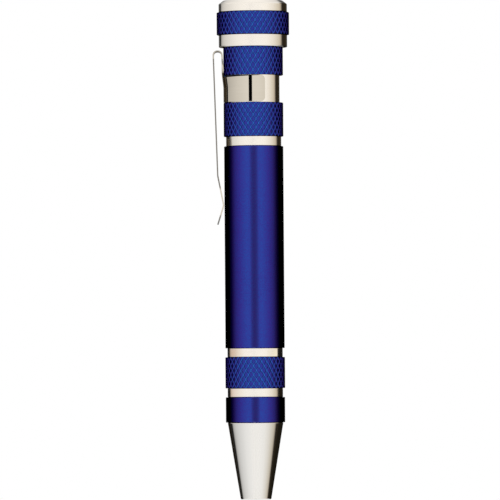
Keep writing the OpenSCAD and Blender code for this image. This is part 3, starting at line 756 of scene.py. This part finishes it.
# The strand as a grid along the bent line and across it. It narrows from the flared root in a
# quarter ellipse, tapers along the arm and ends in a half circle. As far as its loop it follows
# the curve of the band, less and less towards the top.
def strandGrid():
    dense, length = bentLine(clip["line"], clip["radii"])
    flare, tipStart = clip["flareTop"] - clip["high"], length[-1] - clip["tipHalf"]
    loopEnd = flare + clip["loopRun"]
    turnIn = np.linspace(0, np.pi / 2, clip["flareRows"])
    tipTurn = np.linspace(0, np.pi / 2, clip["tipRows"])[1:]
    run = np.linspace(flare, tipStart, int((tipStart - flare) / clip["step"]))[1:]
    along = np.concatenate([flare * (1 - np.cos(turnIn)), run,
                            tipStart + clip["tipHalf"] * np.sin(tipTurn)])
    pathX, z = (np.interp(along, length, dense[:, axis])[:, None] for axis in (0, 1))
    taper = np.clip((along - loopEnd) / (tipStart - loopEnd), 0, 1)
    half = clip["strandHalf"] + (clip["tipHalf"] - clip["strandHalf"]) * taper
    half[:len(turnIn)] = clip["flareHalf"] - (
        clip["flareHalf"] - clip["strandHalf"]) * np.sin(turnIn)
    half[-len(tipTurn):] = clip["tipHalf"] * np.cos(tipTurn)
    aside = half[:, None] * strandShares
    rising = along[:, None] < loopEnd
    curved = np.where(rising, 1 - eased(z, *clip["flatEdge"]), 0)
    shift = np.where(rising, bandShift(z), clip["shiftHigh"])
    twist = math.radians(clip["twist"]) * np.where(rising, eased(z, *clip["twistEdge"]), 1)
    bow = aside / clip["bandR"]
    x = pathX + clip["shiftHigh"] - shift - aside * np.sin(twist) + (
        curved * (clip["bandR"] + shift - clip["flat"]) * (1 - np.cos(bow)))
    y = curved * clip["bandR"] * np.sin(bow) + (1 - curved) * aside
    return np.stack(np.broadcast_arrays(x, y, z), -1)


# Band and strand joined into one sheet, with its thickness and rounded rims in the mesh. The
# faces of the rims have material index 1.
def clipSheet():
    band, strand = bandGrid(), strandGrid()
    points = np.vstack([band.reshape(-1, 3), strand.reshape(-1, 3)]) * mm
    faces = np.vstack([gridQuads(*band.shape[:2], False, False),
                       gridQuads(*strand.shape[:2], False, False) + band.size // 3])
    obj = meshObject("springClip", points, faces.tolist())
    work = bmesh.new()
    work.from_mesh(obj.data)
    bmesh.ops.remove_doubles(work, verts=work.verts, dist=clip["merge"] * mm)
    bmesh.ops.recalc_face_normals(work, faces=work.faces)
    work.to_mesh(obj.data)
    work.free()
    for _ in range(2):
        obj.data.materials.append(materials["clip"])
    thick = obj.modifiers.new("sheet", "SOLIDIFY")
    thick.thickness, thick.offset, thick.use_even_offset = clip["sheet"] * mm, 0.0, True
    thick.material_offset_rim = 1
    rim = obj.modifiers.new("rim", "BEVEL")
    rim.width, rim.segments, rim.limit_method = clip["rim"] * mm, clip["rimSteps"], "ANGLE"
    rim.angle_limit, rim.harden_normals = math.radians(clip["rimAngle"]), True
    graph = bpy.context.evaluated_depsgraph_get()
    solid = bpy.data.meshes.new_from_object(obj.evaluated_get(graph))
    obj.modifiers.clear()
    obj.data = solid
    return obj


# The mark of each rim face, a dull sheared edge whose dark line is partly painted shade:
# nought along the band, more up the strand and out along the loop
def markShearedAndShadedEdges(mesh):
    shearAndShade = clip["shearAndShade"]
    sheared = np.zeros(len(mesh.polygons), np.int32)
    mesh.polygons.foreach_get("material_index", sheared)
    middle = np.zeros(len(mesh.polygons) * 3)
    mesh.polygons.foreach_get("center", middle)
    x, _, z = middle.reshape(-1, 3).T / mm
    dull = np.maximum((z - shearAndShade["from"]) / shearAndShade["over"],
                      (shearAndShade["outFrom"] - x) / shearAndShade["outOver"])
    dull = np.clip(dull, 0, np.where(z > shearAndShade["loopFrom"], shearAndShade["loopMost"], 1))
    dull = np.maximum(dull, shearAndShade["right"] * (x > shearAndShade["rightFrom"]))
    mesh.attributes.new("markAndPaintedLight", "FLOAT", "FACE").data.foreach_set(
        "value", (sheared * dull).astype(np.float32))
    mesh.polygons.foreach_set("material_index", sheared * 0)
    print("sheared edge faces:", int(sheared.sum()), "of", len(sheared))


springClip = clipSheet()
markShearedAndShadedEdges(springClip.data)
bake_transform(springClip)
finishPiece(springClip, "clip", None, "clip", "clip_band", "clip_arm")
print("clip built:", len(springClip.data.polygons), "faces")


# Inner pieces keep their CAD shape, with softened edges: material, slot and width of the edge
inner = {
    "bit_socket": ("steel", "steel", 0.06), "socket_magnet": ("magnet", "steel", 0.0),
    "magazine_plug": ("blackPlastic", "black_plastic", 0.08),
    "plug_o_ring": ("rubber", "rubber", 0.0), "bit_rack": ("blackPlastic", "black_plastic", 0.1),
    "rack_pin": ("steel", "steel", 0.05), "swivel_washer": ("steel", "steel", 0.0),
    "swivel_screw": ("steel", "steel", 0.05)}
inner.update({f"bit_{kind}_{i}": ("bitSteel", "bit_steel", 0.06)
              for kind in ("slotted", "cross") for i in (1, 2, 3, 4)})
softEdge = {"steps": 2, "angle": 35.0}
for node, (material, slotName, width) in inner.items():
    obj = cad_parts[node]
    setMaterial(obj, material)
    if width:
        edge = obj.modifiers.new("edge", "BEVEL")
        edge.width, edge.segments, edge.limit_method = width * mm, softEdge["steps"], "ANGLE"
        edge.angle_limit, edge.harden_normals = math.radians(softEdge["angle"]), True
print("inner pieces finished:", len(inner))


# Studio: a pale floor, a white backdrop for the camera, and a wrap-round light whose level
# depends on the direction, as panels and black screens round a product table would give.
# Angles are in degrees. The azimuth is nought at the camera, which stands turn away from -Y
# towards +X, and grows the same way. azimuth holds the levels between the two elevations of
# screens, whose edges are as wide as soft; sky holds those above and ground those below. Each
# pair that ends in Edge is the angles between which a change comes in.
studio = {
    "azimuth": [(-180, 0.2), (-163, 0.17), (-156, 0.12), (-151, 0.02), (-139.5, 0.008),
                (-136.5, 0.17), (-133.5, 0.35), (-127, 0.49), (-120, 0.575), (-112, 0.645),
                (-100, 0.71), (-90, 0.755), (-78, 0.8), (-60, 0.88), (-20, 0.99), (20, 1.0),
                (50, (0.94, 0.93, 0.91)), (76, (0.81, 0.78, 0.73)), (90, (0.7, 0.66, 0.58)),
                (101, (0.6, 0.55, 0.47)), (107, (0.49, 0.43, 0.36)), (111.5, (0.3, 0.26, 0.2)),
                (115.5, 0.05), (119, (0.026, 0.019, 0.013)), (134, (0.022, 0.017, 0.01)),
                (150, (0.035, 0.027, 0.016)), (165, 0.08), (180, 0.2)],
    "sky": [(0, 0.22), (19, 0.34), (30, 0.64), (45, 0.78), (62, 0.92), (76, 1.0)],
    "skyFront": 0.9, "frontEdge": (95.0, 130.0),
    "ground": [(0, 1.0), (90, 0.95), (130, 0.8), (180, 0.5)],
    "screens": (-25.0, 10.0), "soft": 6.0, "turn": 3.0,
    "screenHeight": 0.4, "screenEdge": (92.0, 120.0),
    "widenLow": 0.065, "lowEdge": (0.0, 1.5), "widenDeep": 0.115, "deepEdge": (-10.0, -3.0),
    "behind": (0.012, 0.01, 0.007), "behindEdge": (126.0, 136.0), "rightEdge": (110.0, 119.0),
    "below": (0.88, 0.92, 0.98), "belowEdge": (-14.0, -6.0),
    "lens": {"azimuth": -6.0, "half": 1.6, "elevation": 2.5, "tall": 1.5, "soft": 0.5}}


def buildWorld():
    world = bpy.data.worlds.new("studio")
    bpy.context.scene.world = world
    world.use_nodes = True
    tree = world.node_tree
    way = addNode(tree, "ShaderNodeSeparateXYZ", {
        "Vector": addNode(tree, "ShaderNodeTexCoord").outputs["Generated"]})
    x, y, z = (way.outputs[axis] for axis in "XYZ")
    fromFront = calc(tree, "ARCTAN2", x, calc(tree, "MULTIPLY", y, -1.0))
    fromCamera = calc(tree, "SUBTRACT", calc(tree, "MULTIPLY", fromFront, 180 / math.pi),
                      studio["turn"])
    azimuth = calc(tree, "WRAP", fromCamera, 180.0, -180.0)
    aside = calc(tree, "ABSOLUTE", azimuth)
    elevation = calc(tree, "MULTIPLY", calc(tree, "ARCSINE", z), 180 / math.pi)

    # towards the table the black screens come further round, and are black right to the back
    low = mapped(tree, elevation, *studio["lowEdge"], 1.0, 0.0)
    widen = calc(tree, "ADD", calc(tree, "MULTIPLY", low, studio["widenLow"]),
                 mapped(tree, elevation, *studio["deepEdge"], studio["widenDeep"], 0.0))
    tilted = calc(tree, "ADD", azimuth, calc(tree, "MULTIPLY", azimuth, widen))
    place = calc(tree, "ADD", calc(tree, "DIVIDE", tilted, 360.0), 0.5)
    around = ramp(tree, place, [((a + 180) / 360, level) for a, level in studio["azimuth"]])
    behind = calc(tree, "MULTIPLY", low, calc(
        tree, "MAXIMUM", mapped(tree, aside, *studio["behindEdge"]),
        mapped(tree, azimuth, *studio["rightEdge"])))
    around = blended(tree, behind, around, studio["behind"])

    # above the screens the sky, plain at the front; the screens at the back right are taller
    sky = ramp(tree, calc(tree, "DIVIDE", elevation, 90.0),
               [(e / 90, level) for e, level in studio["sky"]])
    sky = blended(tree, mapped(tree, aside, *studio["frontEdge"]), studio["skyFront"], sky)
    raised = calc(tree, "MULTIPLY", elevation, mapped(
        tree, azimuth, *studio["screenEdge"], 1.0, studio["screenHeight"]))
    bottom, top = studio["screens"]
    level = blended(tree, mapped(tree, raised, top, top + studio["soft"]), around, sky)

    # below them the ground, and a cool tint on all that comes from low down
    ground = ramp(tree, calc(tree, "DIVIDE", aside, 180.0),
                  [(a / 180, level) for a, level in studio["ground"]])
    level = blended(tree, mapped(tree, elevation, bottom - studio["soft"], bottom, 1.0, 0.0),
                    level, ground)
    level = blended(tree, mapped(tree, elevation, *studio["belowEdge"], 1.0, 0.0), level,
                    studio["below"], "MULTIPLY")

    # the dark opening for the lens, which the clip's band mirrors as a bar
    lens = studio["lens"]
    beside = calc(tree, "ABSOLUTE", calc(tree, "SUBTRACT", azimuth, lens["azimuth"]))
    over = calc(tree, "ABSOLUTE", calc(tree, "SUBTRACT", elevation, lens["elevation"]))
    hidden = calc(tree, "MULTIPLY",
                  mapped(tree, beside, lens["half"], lens["half"] + lens["soft"], 1.0, 0.0),
                  mapped(tree, over, lens["tall"], lens["tall"] + lens["soft"], 1.0, 0.0))
    level = blended(tree, hidden, level, 0)
    seen = addNode(tree, "ShaderNodeLightPath").outputs["Is Camera Ray"]
    fill(tree, tree.nodes["Background"], {"Color": blended(tree, seen, level, 1)})


floorPlate = {"half": 3.0, "drop": 0.0002, "color": (0.85, 0.85, 0.84), "roughness": 0.9}


def buildFloor():
    half, drop = floorPlate["half"], floorPlate["drop"]
    floor = meshObject("floor", np.array([
        [-half, -half, -drop], [half, -half, -drop], [half, half, -drop], [-half, half, -drop]]),
        [[0, 1, 2, 3]])
    material, tree = newMaterial("floor")
    shader = tree.nodes["Principled BSDF"]
    fill(tree, shader, {"Base Color": fullColor(floorPlate["color"]),
                        "Roughness": floorPlate["roughness"]})
    glow = addNode(tree, "ShaderNodeEmission", {"Color": fullColor(1), "Strength": 1.0})
    seen = addNode(tree, "ShaderNodeLightPath").outputs["Is Camera Ray"]
    mix = addNode(tree, "ShaderNodeMixShader", {
        0: seen, 1: shader.outputs[0], 2: glow.outputs[0]})
    fill(tree, tree.nodes["Material Output"], {"Surface": mix.outputs[0]})
    floor.data.materials.append(material)
    floor.visible_glossy = False


# Small cards beside the clip and the rings, which only polished faces near them reflect. Each
# is part of an upright cylinder round the tool, shaded from stop to stop: its lower and upper
# edge in metres, and stops of (azimuth, level). Here the azimuth is nought at -Y.
cardRadius = 0.062
cards = {
    "besideClip": (0.0928, 0.1095, [
        (-165, (0.12, 0.108, 0.09)), (-124, (0.12, 0.108, 0.09)), (-124, 0.0), (-104.8, 0.0)]),
    "belowClip": (0.084, 0.0928, [
        (-151, (0.1, 0.09, 0.07)), (-120, (0.1, 0.09, 0.07)), (-117, 0.02), (-111, 0.02),
        (-105.8, 0.13), (-99, (0.35, 0.31, 0.27)), (-92.3, 0.69)]),
    "lowerRing": (0.0248, 0.0284, [
        (-145, 0.008), (-125, 0.01), (-120, (0.12, 0.1, 0.08)), (-115.5, (0.5, 0.4, 0.33)),
        (-111, (0.6, 0.5, 0.42)), (-105, (0.67, 0.577, 0.51)), (-98, (0.743, 0.652, 0.595)),
        (-92, (0.783, 0.69, 0.647)), (-80, (0.81, 0.75, 0.7)), (-42, (0.93, 0.92, 0.9))]),
    "upperRingLeft": (0.0352, 0.0384, [
        (-145, 0.012), (-127, 0.015), (-120, (0.4, 0.32, 0.25)), (-110, (0.6, 0.48, 0.4)),
        (-100, (0.65, 0.52, 0.43)), (-85, (0.69, 0.58, 0.5)), (-68, (0.8, 0.73, 0.66)),
        (-42, (0.93, 0.92, 0.9))]),
    "upperRingRight": (0.0352, 0.0384, [
        (55, (0.9, 0.88, 0.83)), (76, (0.88, 0.85, 0.76)), (90, (0.93, 0.89, 0.75)),
        (102, (0.95, 0.9, 0.77)), (104.5, (0.75, 0.7, 0.6)), (107, 0.08), (110, 0.01),
        (150, 0.01)])}


def buildCards():
    rows, tones = [], []
    for low, high, stops in cards.values():
        for first, second in zip(stops, stops[1:]):
            angle = np.radians([first[0], second[0], second[0], first[0]])
            rows.append(np.stack([np.sin(angle) * cardRadius, -np.cos(angle) * cardRadius,
                                  [low, low, high, high]], -1))
            tones += [fullColor(stop[1]) for stop in (first, second, second, first)]
    plates = meshObject("cards", np.vstack(rows),
                        np.arange(len(rows) * 4).reshape(-1, 4).tolist())
    plates.data.attributes.new("tone", "FLOAT_COLOR", "POINT").data.foreach_set(
        "color", np.array(tones, np.float32).ravel())
    material, tree = newMaterial("cards")
    tone = addNode(tree, "ShaderNodeAttribute", attribute_name="tone").outputs["Color"]
    glow = addNode(tree, "ShaderNodeEmission", {"Color": tone, "Strength": 1.0})
    fill(tree, tree.nodes["Material Output"], {"Surface": glow.outputs[0]})
    plates.data.materials.append(material)
    plates.visible_camera, plates.visible_diffuse, plates.visible_shadow = False, False, False


# Each lamp is (place, size, energy), and both look at the middle of the tool
lampAim = (0, 0, 0.06)
lamps = {"keyLamp": ((-0.5, -0.9, 0.9), 0.6, 3.6), "rimLamp": ((0.7, 0.6, 0.8), 0.5, 1.8)}


def turnTowards(target, place):
    return (Vector(target) - Vector(place)).to_track_quat("-Z", "Y")


def buildLamp(name, place, size, energy):
    data = bpy.data.lights.new(name, "AREA")
    data.size, data.energy = size, energy
    lamp = intoScene(bpy.data.objects.new(name, data))
    lamp.location = place
    lamp.rotation_euler = turnTowards(lampAim, place).to_euler()
    lamp.visible_camera = False
    lamp.visible_glossy = False


buildWorld()
buildFloor()
buildCards()
for name, lamp in lamps.items():
    buildLamp(name, *lamp)
print("studio built")

view = {"away": 1.75, "height": 0.025, "target": (-0.0011, 0.0, 0.0623), "lens": 504.0,
        "sensor": 36.0, "roll": -0.4, "near": 0.1, "far": 8.0}
cameraData = bpy.data.cameras.new("camera")
cameraData.lens, cameraData.sensor_width = view["lens"], view["sensor"]
cameraData.clip_start, cameraData.clip_end = view["near"], view["far"]
camera = intoScene(bpy.data.objects.new("camera", cameraData))
turn, roll = math.radians(studio["turn"]), math.radians(view["roll"])
camera.location = (view["target"][0] + view["away"] * math.sin(turn),
                   -view["away"] * math.cos(turn), view["height"])
aim = turnTowards(view["target"], camera.location)
camera.rotation_euler = (aim @ Quaternion((0, 0, 1), roll)).to_euler()
bpy.context.scene.camera = camera
bpy.context.scene.view_settings.view_transform = "Standard"
print("camera placed")
